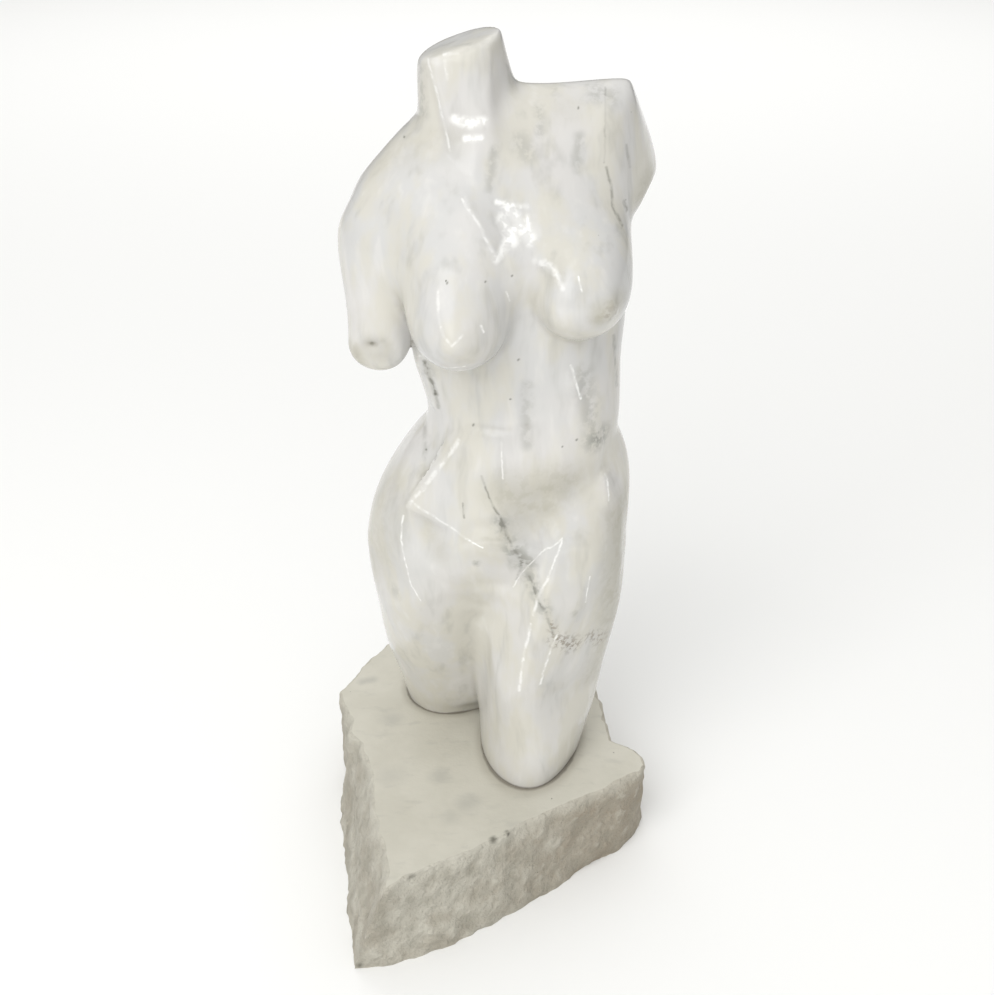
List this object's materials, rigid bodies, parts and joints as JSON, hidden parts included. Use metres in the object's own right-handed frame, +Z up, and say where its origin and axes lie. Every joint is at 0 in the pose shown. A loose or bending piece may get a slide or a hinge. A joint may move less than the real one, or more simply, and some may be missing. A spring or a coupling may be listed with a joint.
{
  "type": "female torso sculpture",
  "caption": "Headless marble torso of a striding woman with broken-off arms, carved in one block with its rough-hewn plinth.",
  "frame": {"origin": "centre of the bounding box at the plinth's flat underside", "axes": "+Z up along the figure, -Y is the side the figure faces, +X is towards its left arm"},
  "size_m": [0.328, 0.4186, 0.7951],
  "materials": {
    "marble": "polished figure on a honed, rough-hewn plinth"
  },
  "bodies": {
    "root": {"torso_with_plinth": "marble"}
  },
  "joints": []
}
